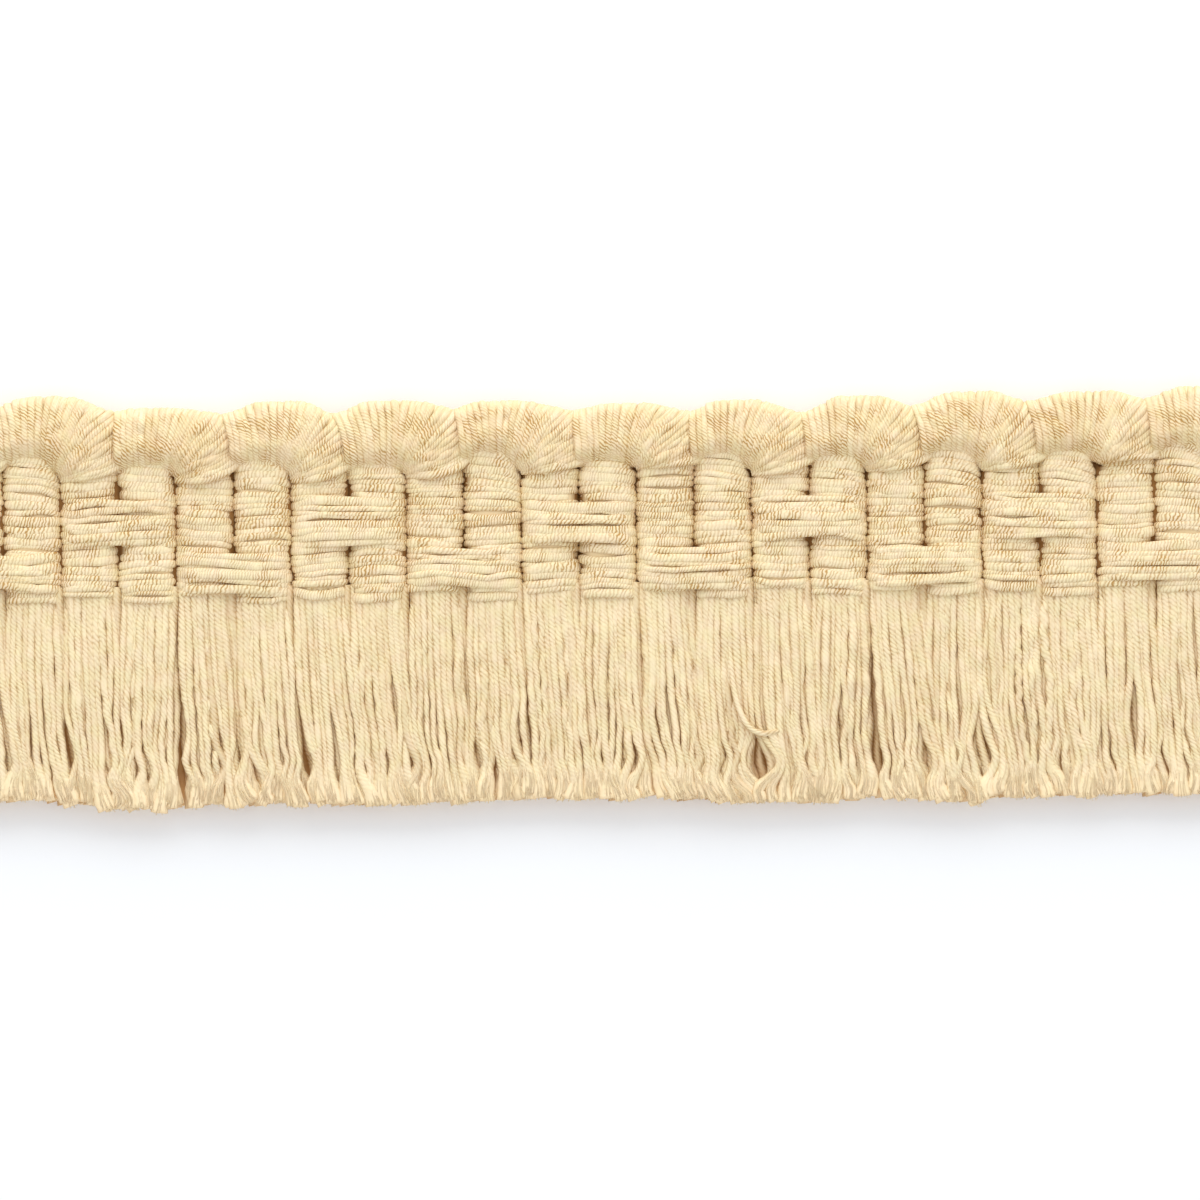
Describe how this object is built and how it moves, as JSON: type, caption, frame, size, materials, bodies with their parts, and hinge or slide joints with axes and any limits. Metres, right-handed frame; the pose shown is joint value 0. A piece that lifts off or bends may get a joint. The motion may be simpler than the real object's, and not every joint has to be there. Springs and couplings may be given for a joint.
{
  "type": "brush fringe trimming",
  "caption": "Cut length of cream brush fringe: a woven heading with turned loops along its top edge and a skirt of cut yarn ends.",
  "frame": {"origin": "middle of the trimming's outline, on its flat back", "axes": "+X along the trimming, +Y from the cut skirt ends to the top loops, +Z out of the face that shows"},
  "size_m": [0.197, 0.0585, 0.0072],
  "materials": {
    "heading_yarn": "woven plied cream yarn, soft sheen",
    "loop_yarn": "turned bundles of plied cream yarn, soft sheen",
    "skirt_yarn": "cut plied cream yarn with frayed ends, soft sheen"
  },
  "bodies": {
    "root": {"heading": "heading_yarn", "loop_01": "loop_yarn", "loop_02": "loop_yarn", "loop_03": "loop_yarn", "loop_04": "loop_yarn", "loop_05": "loop_yarn", "loop_06": "loop_yarn", "loop_07": "loop_yarn", "loop_08": "loop_yarn", "loop_09": "loop_yarn", "loop_10": "loop_yarn", "loop_11": "loop_yarn", "loop_12": "loop_yarn", "skirt": "skirt_yarn"}
  },
  "joints": []
}
